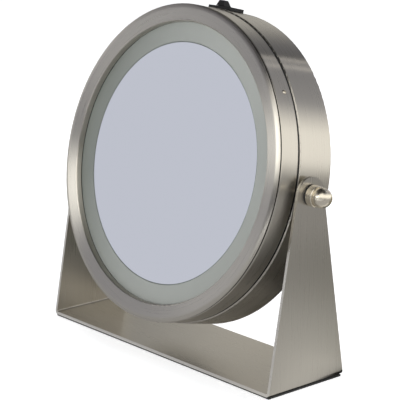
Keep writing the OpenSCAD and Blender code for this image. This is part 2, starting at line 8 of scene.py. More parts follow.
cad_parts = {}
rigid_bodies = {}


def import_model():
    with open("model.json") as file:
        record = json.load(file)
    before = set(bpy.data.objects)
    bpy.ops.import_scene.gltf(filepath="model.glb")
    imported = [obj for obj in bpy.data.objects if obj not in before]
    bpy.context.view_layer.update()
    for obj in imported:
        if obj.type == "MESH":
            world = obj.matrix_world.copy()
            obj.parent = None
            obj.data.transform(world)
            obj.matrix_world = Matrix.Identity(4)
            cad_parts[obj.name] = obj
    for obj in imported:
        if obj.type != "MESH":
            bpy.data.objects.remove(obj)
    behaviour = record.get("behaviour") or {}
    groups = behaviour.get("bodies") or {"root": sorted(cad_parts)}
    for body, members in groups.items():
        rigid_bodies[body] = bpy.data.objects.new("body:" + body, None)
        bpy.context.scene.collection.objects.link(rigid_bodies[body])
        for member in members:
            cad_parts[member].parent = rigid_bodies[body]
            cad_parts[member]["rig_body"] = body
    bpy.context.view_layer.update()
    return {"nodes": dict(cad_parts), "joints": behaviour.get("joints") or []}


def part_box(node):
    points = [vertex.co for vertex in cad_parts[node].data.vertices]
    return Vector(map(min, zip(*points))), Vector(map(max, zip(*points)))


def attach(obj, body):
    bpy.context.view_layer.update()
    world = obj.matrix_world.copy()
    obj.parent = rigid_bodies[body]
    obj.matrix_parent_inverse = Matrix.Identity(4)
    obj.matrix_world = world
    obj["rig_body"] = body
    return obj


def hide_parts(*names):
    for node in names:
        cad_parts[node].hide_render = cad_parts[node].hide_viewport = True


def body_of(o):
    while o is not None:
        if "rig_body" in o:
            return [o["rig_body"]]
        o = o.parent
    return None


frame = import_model()
nodes = frame["nodes"]
joints = {joint["name"]: joint for joint in frame["joints"]}
scene = bpy.context.scene
mm = 0.001
weldReach = 0.004 * mm  # corners of a CAD mesh that lie closer than this are one corner
print("frame loaded with", len(nodes), "nodes")

# where the drum sits: its pivot, its axis towards the back, and the lean of the rest pose
pivot = Vector(joints["head_tilt"]["pos_m"])
drumBack = Vector(joints["battery_door_pull"]["axis"]).normalized()
drumRight = Vector((1, 0, 0))
drumUp = drumRight.cross(drumBack)
lean = math.atan2(-drumBack.z, drumBack.y)


def flatArm(point):
    # from the drum's axis straight out to the point
    arm = point - pivot
    return arm - arm.dot(drumBack) * drumBack


# object and node tree helpers

def addObject(name, data):
    item = bpy.data.objects.new(name, data)
    scene.collection.objects.link(item)
    return item


def addNode(tree, kind, inputs=None, **settings):
    node = tree.nodes.new(kind)
    for name, value in settings.items():
        setattr(node, name, value)
    for name, value in (inputs or {}).items():
        if isinstance(value, bpy.types.NodeSocket):
            tree.links.new(value, node.inputs[name])
        else:
            node.inputs[name].default_value = value
    return node


def mathNode(tree, operation, first, second=0.0):
    return addNode(tree, "ShaderNodeMath", {0: first, 1: second}, operation=operation).outputs[0]


def blend(tree, first, firstShare, second, secondShare):
    return mathNode(tree, "ADD", mathNode(tree, "MULTIPLY", first, firstShare),
                    mathNode(tree, "MULTIPLY", second, secondShare))


def vectorNode(tree, operation, first, second=(0, 0, 0)):
    return addNode(tree, "ShaderNodeVectorMath", {0: first, 1: second}, operation=operation)


def vectorMath(tree, operation, first, second=(0, 0, 0)):
    return vectorNode(tree, operation, first, second).outputs["Vector"]


def vectorValue(tree, operation, first, second=(0, 0, 0)):
    return vectorNode(tree, operation, first, second).outputs["Value"]


def scaleVector(tree, vector, factor):
    node = addNode(tree, "ShaderNodeVectorMath", {0: vector, "Scale": factor}, operation="SCALE")
    return node.outputs["Vector"]


def splitVector(tree, vector):
    return addNode(tree, "ShaderNodeSeparateXYZ", {0: vector}).outputs


def joinVector(tree, **parts):
    return addNode(tree, "ShaderNodeCombineXYZ", parts).outputs[0]


def remap(tree, value, old, new):
    node = addNode(tree, "ShaderNodeMapRange", {
        "Value": value, "From Min": old[0], "From Max": old[1], "To Min": new[0], "To Max": new[1]})
    return node.outputs["Result"]


def mixColors(tree, share, first, second):
    node = addNode(tree, "ShaderNodeMix", {"Factor": share, "A": first, "B": second}, data_type="RGBA")
    return node.outputs["Result"]


def mixShaders(tree, share, first, second):
    return addNode(tree, "ShaderNodeMixShader", {0: share, 1: first, 2: second}).outputs[0]


def noise(tree, vector, scale=1.0, detail=2.0, rough=0.5):
    node = addNode(tree, "ShaderNodeTexNoise", {
        "Vector": vector, "Scale": scale, "Detail": detail, "Roughness": rough})
    return node.outputs["Fac"]


def objectCoords(tree):
    return addNode(tree, "ShaderNodeTexCoord").outputs["Object"]


def newMaterial(name, **sockets):
    material = bpy.data.materials.new(name)
    material.use_nodes = True
    tree = material.node_tree
    shader = tree.nodes["Principled BSDF"]
    for socket, value in sockets.items():
        shader.inputs[socket.replace("_", " ")].default_value = value
    return material, tree, shader


def bareMaterial(name):
    # a material without the usual shader, and the socket that takes its surface
    material, tree, shader = newMaterial(name)
    tree.nodes.remove(shader)
    return material, tree, tree.nodes["Material Output"].inputs["Surface"]


def newGroup(kind, name, inputs, outputs):
    group = bpy.data.node_groups.new(name, kind)
    for label, socketKind in inputs.items():
        group.interface.new_socket(label, in_out="INPUT", socket_type=socketKind)
    for label, socketKind in outputs.items():
        group.interface.new_socket(label, in_out="OUTPUT", socket_type=socketKind)
    given = group.nodes.new("NodeGroupInput").outputs
    result = group.nodes.new("NodeGroupOutput").inputs
    return group, given, result


# camera, at the photograph's viewing angle

cameraSettings = {
    "target": Vector((8.52, 0.5, 106.16)) * mm,
    "distance": 1039.6 * mm,
    "azimuth": 48.524,
    "elevation": 13.817,
    "roll": 0.28,
    "lens": 136.51,
    "sensor": 36.0,
}


def makeCamera(view):
    azimuth, elevation, roll = (math.radians(view[key]) for key in ("azimuth", "elevation", "roll"))
    flat = math.cos(elevation)
    back = Vector((math.sin(azimuth) * flat, -math.cos(azimuth) * flat, math.sin(elevation)))
    right = (-back).cross(Vector((0, 0, 1))).normalized()
    up = right.cross(-back)
    turnedRight = math.cos(roll) * right + math.sin(roll) * up
    turnedUp = math.cos(roll) * up - math.sin(roll) * right
    data = bpy.data.cameras.new("camera")
    data.lens = view["lens"]
    data.sensor_width = view["sensor"]
    camera = addObject("camera", data)
    turn = Matrix((turnedRight, turnedUp, back)).transposed().to_4x4()
    camera.matrix_world = Matrix.Translation(view["target"] + back * view["distance"]) @ turn
    scene.camera = camera
    return camera


towardCamera = (makeCamera(cameraSettings).matrix_world.translation - pivot).normalized()
scene.view_settings.view_transform = "Standard"
print("camera set")


# studio: white surroundings and a pale floor

studio = {
    "white": (1, 1, 1, 1),
    "fillColor": (0.95, 0.97, 1.0, 1),
    "fillStrength": 0.42,
    "floorSize": 12.0,
    "floorDrop": 0.05 * mm,
    "floorColor": (0.86, 0.86, 0.86, 1),
    "floorGlow": 0.6,
    "centre": Vector((0, 0, 0.12)),
}


def seenRays(tree):
    # 1 for rays that show the studio itself: to the camera, in a reflection or through glass
    path = addNode(tree, "ShaderNodeLightPath")
    seen = mathNode(tree, "MAXIMUM", path.outputs["Is Camera Ray"], path.outputs["Is Glossy Ray"])
    return mathNode(tree, "MAXIMUM", seen, path.outputs["Is Transmission Ray"])


def makeWorld(room):
    world = bpy.data.worlds.new("studioWorld")
    scene.world = world
    world.use_nodes = True
    tree = world.node_tree
    fill = tree.nodes["Background"]
    fill.inputs["Color"].default_value = room["fillColor"]
    fill.inputs["Strength"].default_value = room["fillStrength"]
    white = addNode(tree, "ShaderNodeBackground", {"Color": room["white"], "Strength": 1.0})
    mix = mixShaders(tree, seenRays(tree), fill.outputs[0], white.outputs[0])
    tree.links.new(mix, tree.nodes["World Output"].inputs["Surface"])


def makeFloor(room):
    half = room["floorSize"] / 2
    mesh = bpy.data.meshes.new("floor")
    corners = [(x * half, y * half, -room["floorDrop"]) for x, y in ((-1, -1), (1, -1), (1, 1), (-1, 1))]
    mesh.from_pydata(corners, [], [(0, 1, 2, 3)])
    floor = addObject("floor", mesh)
    material, tree, surface = bareMaterial("floorPaper")
    mesh.materials.append(material)
    paper = addNode(tree, "ShaderNodeBsdfDiffuse", {"Color": room["floorColor"]})
    strength = mathNode(tree, "MULTIPLY", seenRays(tree), room["floorGlow"])
    glow = addNode(tree, "ShaderNodeEmission", {"Color": room["white"], "Strength": strength})
    both = addNode(tree, "ShaderNodeAddShader", {0: paper.outputs[0], 1: glow.outputs[0]})
    tree.links.new(both.outputs[0], surface)


# light tent: curved cards that only reflections see, each placed where the camera finds it mirrored
# in the drum, listed from front to back. Clock turns round the drum from the right over the top, tilt
# leans the mirroring surface from the drum's side (0) to its face (90), and fade softens the card's
# edges both ways; all in degrees
tent = {"radius": 2.3, "backing": 2.4, "columns": 48, "rows": 24, "color": (0.20, 0.20, 0.21),
        "gap": 0.01, "cardSteps": 40}
cards = [
    {"name": "sweepCard", "clock": (0, 180), "tilt": (83.5, 96.5), "fade": (0, 1),
     "color": (0.57, 0.585, 0.655)},
    {"name": "frontCard", "clock": (-1, 37), "tilt": (60, 84), "fade": (14, 4),
     "color": (3.6, 3.6, 3.5)},
    {"name": "mainCard", "clock": (-1, 33), "tilt": (-38, 64), "fade": (13, 4),
     "color": (1.5, 1.47, 1.4)},
    {"name": "lowStripCard", "clock": (45.6, 46.8), "tilt": (-20, 15), "fade": (0.3, 5),
     "color": (1.4, 1.35, 1.3)},
    {"name": "highStripCard", "clock": (49, 50.2), "tilt": (-20, 15), "fade": (0.3, 5),
     "color": (1.4, 1.35, 1.3)},
    {"name": "rimCard", "clock": (12, 44), "tilt": (32, 64), "fade": (12, 5),
     "color": (1.6, 1.57, 1.5)},
    {"name": "flagCard", "clock": (30, 90), "tilt": (15, 66), "fade": (6, 4),
     "color": (0.02, 0.02, 0.02)},
    {"name": "baseCard", "clock": (84, 106), "tilt": (-20, 24), "fade": (5, 6),
     "color": (0.74, 0.72, 0.66)},
    {"name": "topCard", "clock": (54, 97), "tilt": (-38, 45), "fade": (20, 5),
     "color": (0.84, 0.82, 0.77)},
    {"name": "faceLeftCard", "clock": (93, 288), "tilt": (15, 84), "fade": (50, 5),
     "color": (1.04, 1.02, 1.05)},
    {"name": "faceUpperCard", "clock": (28, 115), "tilt": (62, 84), "fade": (12, 4),
     "color": (0.36, 0.35, 0.39)},
    {"name": "greyCard", "clock": (22, 52), "tilt": (-38, 30), "fade": (5, 5),
     "color": (0.46, 0.46, 0.49)},
    {"name": "dimCard", "clock": (51, 102), "tilt": (-38, 45), "fade": (4, 5),
     "color": (0.27, 0.27, 0.29)},
]


def addReflector(name, mesh, color):
    # a glowing sheet that only reflections see
    card = addObject(name, mesh)
    card.visible_camera = False
    card.visible_diffuse = False
    card.visible_shadow = False
    material, tree, surface = bareMaterial(name)
    mesh.materials.append(material)
    glow = addNode(tree, "ShaderNodeEmission", {"Color": (*color, 1), "Strength": 1.0})
    return tree, glow.outputs[0], surface


def makeTent(lining):
    shape = bmesh.new()
    bmesh.ops.create_uvsphere(shape, u_segments=lining["columns"], v_segments=lining["rows"],
                              radius=lining["backing"])
    bmesh.ops.translate(shape, verts=shape.verts, vec=pivot)
    mesh = bpy.data.meshes.new("tentBacking")
    shape.to_mesh(mesh)
    shape.free()
    tree, glow, surface = addReflector("tentBacking", mesh, lining["color"])
    tree.links.new(glow, surface)


def ease(inside, fade):
    # 0 at the edge, 1 from the fade's width inwards, level at both ends
    share = min(inside / fade, 1) if fade else 1
    return share * share * (3 - 2 * share)


def makeCard(card, spot, spans):
    # a grid of points from a function of two shares, shown less and less towards its edges
    steps = tent["cardSteps"]
    width = steps + 1
    shares = [step / steps for step in range(width)]
    places = [(u, v) for v in shares for u in shares]
    corners = [row * width + column for row in range(steps) for column in range(steps)]
    faces = [(corner, corner + 1, corner + width + 1, corner + width) for corner in corners]
    mesh = bpy.data.meshes.new(card["name"])
    mesh.from_pydata([spot(u, v) for u, v in places], [], faces)
    shown = mesh.attributes.new("shown", "FLOAT", "POINT")
    for item, (u, v) in zip(shown.data, places):
        item.value = (ease(min(u, 1 - u) * spans[0], card["fade"][0])
                      * ease(min(v, 1 - v) * spans[1], card["fade"][1]))
    tree, glow, surface = addReflector(card["name"], mesh, card["color"])
    share = addNode(tree, "ShaderNodeAttribute", attribute_name="shown").outputs["Fac"]
    clear = addNode(tree, "ShaderNodeBsdfTransparent").outputs[0]
    tree.links.new(mixShaders(tree, share, clear, glow), surface)


def mirroredWay(clock, tilt):
    # where the camera's ray goes from a surface of the drum with this clock angle and tilt
    outward = math.cos(clock) * drumRight + math.sin(clock) * drumUp
    face = math.cos(tilt) * outward - math.sin(tilt) * drumBack
    return 2 * face.dot(towardCamera) * face - towardCamera


def makeTentCard(card, order):
    clockLow, clockHigh = card["clock"]
    tiltLow, tiltHigh = card["tilt"]
    spans = (clockHigh - clockLow, tiltHigh - tiltLow)
    radius = tent["radius"] - order * tent["gap"]

    def spot(u, v):
        clock = math.radians(clockLow + spans[0] * u)
        tilt = math.radians(tiltLow + spans[1] * v)
        return pivot + radius * mirroredWay(clock, tilt)

    makeCard(card, spot, spans)


# flat cards near the object, from front to back: a corner and the two ways from it in metres, with
# fade as a share of each way; lift keeps those on the floor apart
lift = 0.01 * mm
flatCards = [
    {"name": "backFlag", "corner": (-0.02, 0.16, 0), "along": (0.22, 0, 0), "across": (0, 0, 0.13),
     "fade": (0.1, 0.1), "color": (0.26, 0.23, 0.16)},
    {"name": "backCard", "corner": (-0.32, 0.25, 0), "along": (0.26, 0, 0), "across": (0, 0, 0.26),
     "fade": (0.35, 0.3), "color": (0.98, 0.94, 0.86)},
    # painted shadow: a black card on the floor just behind the base, where reflections would find the
    # object's contact shadow
    {"name": "contactCard", "corner": (-0.13, 0, 0), "along": (0.244, 0, 0), "across": (0.03, 0.11, 0),
     "fade": (0, 0.3), "color": (0.01, 0.01, 0.01)},
    {"name": "shadeCard", "corner": (-0.16, 0.034, 0), "along": (0.275, 0, 0), "across": (0.30, 0.28, 0),
     "fade": (0.05, 0.1), "color": (0.18, 0.19, 0.165)},
    {"name": "nearCard", "corner": (0.05, -0.11, 0), "along": (0.27, 0.24, 0), "across": (0, 0.11, 0),
     "fade": (0.4, 0.2), "color": (0.86, 0.85, 0.82)},
    {"name": "groundCard", "corner": (-2, -0.8, 0), "along": (4, 0, 0), "across": (0, 2.8, 0),
     "fade": (0, 0.05), "color": (0.47, 0.465, 0.465)},
]


def makeFlatCard(card, order):
    corner, along, across = (Vector(card[key]) for key in ("corner", "along", "across"))
    rise = Vector((0, 0, (order + 1) * lift - studio["floorDrop"]))

    def spot(u, v):
        return corner + u * along + v * across + rise

    makeCard(card, spot, (1, 1))


# soft boxes: the way each lies from the object, how far in metres, its size and its power
softBoxes = [
    {"name": "frontBox", "toward": (0.3, -0.93, 0.2), "distance": 2.2, "size": (1.3, 0.9), "power": 24},
    {"name": "rightBox", "toward": (0.68, 0.70, 0.20), "distance": 2.0, "size": (0.9, 0.6), "power": 13},
    {"name": "topBox", "toward": (-0.2, 0.25, 0.95), "distance": 2.0, "size": (1.0, 1.0), "power": 14},
]


def makeSoftBox(box):
    data = bpy.data.lights.new(box["name"], "AREA")
    data.shape = "RECTANGLE"
    data.size, data.size_y = box["size"]
    data.energy = box["power"]
    lamp = addObject(box["name"], data)
    toward = Vector(box["toward"]).normalized()
    turn = toward.to_track_quat("Z", "Y").to_matrix().to_4x4()
    lamp.matrix_world = Matrix.Translation(studio["centre"] + toward * box["distance"]) @ turn
    lamp.visible_camera = False
    lamp.visible_glossy = False


makeWorld(studio)
makeFloor(studio)
makeTent(tent)
for order, settings in enumerate(reversed(cards)):
    makeTentCard(settings, order)
for order, settings in enumerate(reversed(flatCards)):
    makeFlatCard(settings, order)
for settings in softBoxes:
    makeSoftBox(settings)
print("studio lit")


# shared surface effects, as shader node groups

bumpDepth = 0.02 * mm
surfaceInputs = {"Vector": "NodeSocketVector", "Tint": "NodeSocketColor", "Depth": "NodeSocketFloat",
                 "Rough": "NodeSocketFloat", "Spread": "NodeSocketFloat"}
surfaceOutputs = {"Color": "NodeSocketColor", "Roughness": "NodeSocketFloat", "Height": "NodeSocketFloat"}
brushing = {"hairDetail": 3.0, "hairRough": 0.65, "hairShare": 0.6,
            "streakScale": (0.6, 0.6, 0.12), "streakShare": 0.4}
graining = {"detail": 3.0, "fineShare": 0.5, "driftSize": 60.0, "driftShare": 0.5}


def endEffect(group, given, result, pattern, height):
    # the pattern, which lies round a half, varies the tint by Depth and the roughness by Spread
    centred = mathNode(group, "SUBTRACT", pattern, 0.5)
    tone = mathNode(group, "ADD", mathNode(group, "MULTIPLY", centred, given["Depth"]), 1.0)
    rough = mathNode(group, "ADD", mathNode(group, "MULTIPLY", centred, given["Spread"]), given["Rough"])
    group.links.new(scaleVector(group, given["Tint"], tone), result["Color"])
    group.links.new(rough, result["Roughness"])
    group.links.new(height, result["Height"])


def makeBrushGroup(brush):
    # fine hairlines over broad streaks; Z of the vector runs across the brushing
    group, given, result = newGroup("ShaderNodeTree", "brushing", surfaceInputs, surfaceOutputs)
    hair = noise(group, given["Vector"], detail=brush["hairDetail"], rough=brush["hairRough"])
    streak = noise(group, vectorMath(group, "MULTIPLY", given["Vector"], brush["streakScale"]))
    both = blend(group, hair, brush["hairShare"], streak, brush["streakShare"])
    endEffect(group, given, result, both, both)
    return group


def makeGrainGroup(grain):
    # moulded or cast grain with a slow drift of tone
    inputs = {**surfaceInputs, "Size": "NodeSocketFloat"}
    group, given, result = newGroup("ShaderNodeTree", "grain", inputs, surfaceOutputs)
    fine = noise(group, given["Vector"], given["Size"], grain["detail"])
    drift = noise(group, given["Vector"], grain["driftSize"])
    both = blend(group, fine, grain["fineShare"], drift, grain["driftShare"])
    endEffect(group, given, result, both, fine)
    return group


brushGroup = makeBrushGroup(brushing)
grainGroup = makeGrainGroup(graining)


def coverSurface(tree, shader, group, bump, **inputs):
    effect = addNode(tree, "ShaderNodeGroup", inputs, node_tree=group)
    relief = addNode(tree, "ShaderNodeBump", {
        "Strength": bump, "Distance": bumpDepth, "Height": effect.outputs["Height"]})
    tree.links.new(effect.outputs["Color"], shader.inputs["Base Color"])
    tree.links.new(effect.outputs["Roughness"], shader.inputs["Roughness"])
    tree.links.new(relief.outputs["Normal"], shader.inputs["Normal"])


# satin nickel, brushed round the drum or along the stand's strip

nickel = {
    "tint": (0.53, 0.505, 0.455, 1),
    "rough": 0.28,
    "spread": 0.06,
    "depth": 0.22,
    "hairWidth": 0.35 * mm,
    "hairLength": 40 * mm,
    "hairRadius": 107 * mm,  # where a hairline round the drum has that length
    "faceShare": 2.0,  # how many times finer the hairlines are on a face than on the drum's side
    "anisotropic": 1.0,
    "bump": 0.08,
    # painted highlight on the stand's cut edges: the brighter tint they are given, and how squarely a
    # surface must face front or back to take it
    "edgeHighlightTint": (0.86, 0.83, 0.76, 1),
    "edgeHighlightLean": (0.5, 0.9),  # how squarely a surface faces front or back, from a rolled side to a cut edge
}


def drumCoords(tree):
    # object coordinates in the drum's own frame: X right, Y towards the back, Z up the leaning head
    return addNode(tree, "ShaderNodeMapping", {
        "Vector": objectCoords(tree), "Location": pivot, "Rotation": (-lean, 0, 0)},
        vector_type="TEXTURE").outputs[0]


def roundVector(tree, metal):
    # seamless round the drum: the unit circle carries the length, radius and depth run across
    x, depth, z = splitVector(tree, drumCoords(tree))
    flat = joinVector(tree, X=x, Y=z)
    radius = vectorValue(tree, "LENGTH", flat)
    unit = vectorMath(tree, "NORMALIZE", flat)
    along = scaleVector(tree, unit, metal["hairRadius"] / metal["hairLength"])
    across = mathNode(tree, "SUBTRACT", mathNode(tree, "MULTIPLY", radius, metal["faceShare"]), depth)
    hairs = mathNode(tree, "DIVIDE", across, metal["hairWidth"])
    return vectorMath(tree, "ADD", along, joinVector(tree, Z=hairs))


def stripVector(tree, metal):
    # the strip runs along X on the base and along Z on the arms, so only Y runs across
    x, y, z = splitVector(tree, objectCoords(tree))
    return joinVector(tree, X=mathNode(tree, "DIVIDE", x, metal["hairLength"]),
                      Y=mathNode(tree, "DIVIDE", z, metal["hairLength"]),
                      Z=mathNode(tree, "DIVIDE", y, metal["hairWidth"]))


def toWorld(tree, vector):
    node = addNode(tree, "ShaderNodeVectorTransform", {"Vector": vector}, vector_type="VECTOR",
                   convert_from="OBJECT", convert_to="WORLD")
    return node.outputs[0]


def roundTangent(tree):
    # across the brushing: square to the way round and to the surface
    arm = vectorMath(tree, "SUBTRACT", objectCoords(tree), pivot)
    way = toWorld(tree, vectorMath(tree, "CROSS_PRODUCT", arm, drumBack))
    normal = addNode(tree, "ShaderNodeNewGeometry").outputs["Normal"]
    return vectorMath(tree, "CROSS_PRODUCT", way, normal)


def stripTangent(tree):
    return toWorld(tree, joinVector(tree, Y=1.0))


def drumTint(tree, metal):
    return metal["tint"]


def stripTintWithEdgeHighlight(tree, metal):
    # painted highlight: surfaces facing front or back, the strip's cut edges, are drawn brighter than its
    # rolled sides, as where they catch the light
    normal = addNode(tree, "ShaderNodeTexCoord").outputs["Normal"]
    facing = mathNode(tree, "ABSOLUTE", splitVector(tree, normal)["Y"])
    return mixColors(tree, remap(tree, facing, metal["edgeHighlightLean"], (0, 1)), metal["tint"], metal["edgeHighlightTint"])


def nickelMaterial(name, metal, vector, tangent, tint):
    material, tree, shader = newMaterial(name, Metallic=1.0, Anisotropic=metal["anisotropic"])
    coverSurface(tree, shader, brushGroup, metal["bump"], Vector=vector(tree, metal),
                 Tint=tint(tree, metal), Depth=metal["depth"], Rough=metal["rough"],
                 Spread=metal["spread"])
    tree.links.new(tangent(tree), shader.inputs["Tangent"])
    return material


# plain finishes with moulded, cast or rubbed grain; the seam's black rubber is painted darker still and
# without sheen, as the shade in its groove

plainFinishes = {
    "polishedNickel": {"tint": (0.62, 0.58, 0.50, 1), "metallic": 1.0, "rough": 0.22, "spread": 0.06,
                       "depth": 0.10, "size": 900.0, "bump": 0.02, "specular": 0.5},
    "satinNickel": {"tint": (0.72, 0.67, 0.57, 1), "metallic": 1.0, "rough": 0.26, "spread": 0.08,
                    "depth": 0.10, "size": 900.0, "bump": 0.03, "specular": 0.5},
    "brightSteel": {"tint": (0.62, 0.61, 0.60, 1), "metallic": 1.0, "rough": 0.22, "spread": 0.10,
                    "depth": 0.15, "size": 1500.0, "bump": 0.04, "specular": 0.5},
    "turnedBrass": {"tint": (0.60, 0.44, 0.20, 1), "metallic": 1.0, "rough": 0.25, "spread": 0.10,
                    "depth": 0.15, "size": 1500.0, "bump": 0.04, "specular": 0.5},
    "blackPlastic": {"tint": (0.010, 0.010, 0.011, 1), "metallic": 0.0, "rough": 0.42, "spread": 0.20,
                     "depth": 0.35, "size": 1800.0, "bump": 0.10, "specular": 0.25},
    "blackRubber": {"tint": (0.015, 0.015, 0.015, 1), "metallic": 0.0, "rough": 0.75, "spread": 0.20,
                    "depth": 0.40, "size": 2200.0, "bump": 0.15, "specular": 0.5},
    # painted shade: darker than the other rubber and with no sheen, so the seam's real black rubber reads
    # as the shadow in its groove
    "seamShadeBlack": {"tint": (0.004, 0.004, 0.004, 1), "metallic": 0.0, "rough": 0.9, "spread": 0.1,
                  "depth": 0.4, "size": 2200.0, "bump": 0.1, "specular": 0.0},
    "whitePlastic": {"tint": (0.82, 0.82, 0.80, 1), "metallic": 0.0, "rough": 0.40, "spread": 0.12,
                     "depth": 0.06, "size": 1500.0, "bump": 0.05, "specular": 0.5},
    "foamTape": {"tint": (0.72, 0.72, 0.70, 1), "metallic": 0.0, "rough": 0.85, "spread": 0.10,
                 "depth": 0.25, "size": 1200.0, "bump": 0.30, "specular": 0.5},
    "boardMask": {"tint": (0.03, 0.16, 0.07, 1), "metallic": 0.0, "rough": 0.35, "spread": 0.15,
                  "depth": 0.30, "size": 700.0, "bump": 0.05, "specular": 0.5},
    "lampResin": {"tint": (0.90, 0.78, 0.36, 1), "metallic": 0.0, "rough": 0.25, "spread": 0.10,
                  "depth": 0.15, "size": 900.0, "bump": 0.04, "specular": 0.5},
    "cellFilm": {"tint": (0.16, 0.17, 0.19, 1), "metallic": 0.4, "rough": 0.30, "spread": 0.12,
                 "depth": 0.20, "size": 700.0, "bump": 0.04, "specular": 0.5},
    "leadSleeve": {"tint": (0.36, 0.03, 0.03, 1), "metallic": 0.0, "rough": 0.40, "spread": 0.12,
                   "depth": 0.20, "size": 1200.0, "bump": 0.06, "specular": 0.5},
}


def plainMaterial(name, look):
    material, tree, shader = newMaterial(name, Metallic=look["metallic"],
                                         Specular_IOR_Level=look["specular"])
    coverSurface(tree, shader, grainGroup, look["bump"], Vector=objectCoords(tree), Tint=look["tint"],
                 Depth=look["depth"], Rough=look["rough"], Spread=look["spread"], Size=look["size"])
    return material


# glass: silvered mirror and acid-frosted ring

mirrorGlass = {"tint": (0.90, 0.91, 0.92, 1), "rough": 0.015, "smudge": 0.03, "smudgeSize": 35.0,
               "smudgeDetail": 4.0, "smudgeBreak": 0.6, "edge": (0.30, 0.34, 0.32, 1),
               "edgeRough": 0.6, "edgeWidth": 0.5 * mm}
# painted light on the frosted ring: its tone in shade and in light, the clock of the lit line, and the
# share of each lit part
frostGlass = {"paintedShadeTone": (0.20, 0.215, 0.195, 1), "paintedLightTone": (0.40, 0.415, 0.39, 1), "paintedLightClock": 78,
              "evenShare": 0.47, "rightShare": 0.36, "endShare": 0.25, "reach": 95 * mm,
              "rough": 0.42, "spread": 0.12, "depth": 0.10, "size": 2500.0, "bump": 0.12}


def mirrorMaterial(glass):
    # the silvered face is clear but for faint smudges, and the ground edge is matt
    material, tree, shader = newMaterial("mirrorSilver", Metallic=1.0)
    low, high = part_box("mirror_disc")
    rim = (high[0] - low[0]) / 2 - glass["edgeWidth"]
    flat = vectorMath(tree, "MULTIPLY", drumCoords(tree), (1, 0, 1))
    edge = mathNode(tree, "GREATER_THAN", vectorValue(tree, "LENGTH", flat), rim)
    smudge = noise(tree, objectCoords(tree), glass["smudgeSize"], glass["smudgeDetail"],
                   glass["smudgeBreak"])
    clear = remap(tree, smudge, (0, 1), (glass["rough"], glass["rough"] + glass["smudge"]))
    rough = mathNode(tree, "MAXIMUM", clear, mathNode(tree, "MULTIPLY", edge, glass["edgeRough"]))
    tint = mixColors(tree, edge, glass["tint"], glass["edge"])
    tree.links.new(tint, shader.inputs["Base Color"])
    tree.links.new(rough, shader.inputs["Roughness"])
    return material


def frostMaterial(glass):
    # painted light: the ring's tone is drawn lighter to the right, and at both ends of one line across
    # the ring, as where more light falls on it
    material, tree, shader = newMaterial("frostedGlass")
    place = drumCoords(tree)

    def reachAlong(degrees):
        clock = math.radians(degrees)
        way = (math.cos(clock) / glass["reach"], 0, math.sin(clock) / glass["reach"])
        return vectorValue(tree, "DOT_PRODUCT", place, way)

    along = reachAlong(glass["paintedLightClock"])
    across = reachAlong(glass["paintedLightClock"] + 90)
    ends = mathNode(tree, "SUBTRACT", mathNode(tree, "MULTIPLY", along, along),
                    mathNode(tree, "MULTIPLY", across, across))
    lobes = blend(tree, reachAlong(0), glass["rightShare"], ends, glass["endShare"])
    share = mathNode(tree, "ADD", lobes, glass["evenShare"])
    coverSurface(tree, shader, grainGroup, glass["bump"], Vector=objectCoords(tree),
                 Tint=mixColors(tree, share, glass["paintedShadeTone"], glass["paintedLightTone"]), Depth=glass["depth"],
                 Rough=glass["rough"], Spread=glass["spread"], Size=glass["size"])
    return material


materialOf = {name: plainMaterial(name, look) for name, look in plainFinishes.items()}
materialOf["mirrorSilver"] = mirrorMaterial(mirrorGlass)
materialOf["frostedGlass"] = frostMaterial(frostGlass)
materialOf["drumNickel"] = nickelMaterial("drumNickel", nickel, roundVector, roundTangent, drumTint)
materialOf["standNickel"] = nickelMaterial("standNickel", nickel, stripVector, stripTangent, stripTintWithEdgeHighlight)
print("materials made:", len(materialOf))


# which finish each node takes

nodeFinish = {
    "standNickel": ["stand_bracket"],
    "drumNickel": ["front_bezel", "middle_band", "rear_shell"],
    "satinNickel": ["right_knob", "left_knob"],
    "polishedNickel": ["band_screws", "back_screws", "right_spacer", "left_spacer"],
    "brightSteel": ["battery_contacts", "battery_springs", "switch_lugs", "right_stud", "left_stud"],
    "turnedBrass": ["right_insert", "left_insert"],
    "blackPlastic": ["chassis", "battery_tray", "battery_door", "driver_parts", "switch_housing",
                     "switch_button"],
    "seamShadeBlack": ["seam_ring"],
    "blackRubber": ["base_pad", "glass_gasket", "right_washer", "left_washer"],
    "whitePlastic": ["light_channel"],
    "foamTape": ["mirror_tape"],
    "boardMask": ["lamp_board", "driver_board"],
    "lampResin": ["lamps"],
    "cellFilm": ["battery_cells"],
    "leadSleeve": ["switch_leads", "battery_leads", "lamp_leads"],
    "mirrorSilver": ["mirror_disc"],
    "frostedGlass": ["frosted_ring"],
}
for name, members in nodeFinish.items():
    for member in members:
        nodes[member].data.materials.clear()
        nodes[member].data.materials.append(materialOf[name])
print("finishes placed on", sum(len(members) for members in nodeFinish.values()), "nodes")


# pieces that are shown in place of a node


def standIn(piece, node):
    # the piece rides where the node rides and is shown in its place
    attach(piece, body_of(nodes[node])[0])
    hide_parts(node)


def weldedShape(mesh):
    # a CAD mesh is loose triangles, so its corners are merged first
    shape = bmesh.new()
    shape.from_mesh(mesh)
    bmesh.ops.remove_doubles(shape, verts=shape.verts, dist=weldReach)
    return shape


def makePlain(piece):
    # what the modifiers give becomes the piece's own mesh
    bpy.context.view_layer.update()
    graph = bpy.context.evaluated_depsgraph_get()
    piece.data = bpy.data.meshes.new_from_object(piece.evaluated_get(graph))
    piece.modifiers.clear()


# softened copies of the nodes with cut or moulded edges; the loose door stands clear of its seat

softAngles = {"flat": math.radians(0.5), "sharp": math.radians(40)}
softEdges = {
    "stand_bracket": {"width": 0.35 * mm, "segments": 3, "clearance": 0},
    "base_pad": {"width": 0.3 * mm, "segments": 2, "clearance": 0},
    "switch_housing": {"width": 0.3 * mm, "segments": 3, "clearance": 0},
    "switch_button": {"width": 0.25 * mm, "segments": 2, "clearance": 0},
    "battery_door": {"width": 0.3 * mm, "segments": 2, "clearance": 0.02 * mm},
}


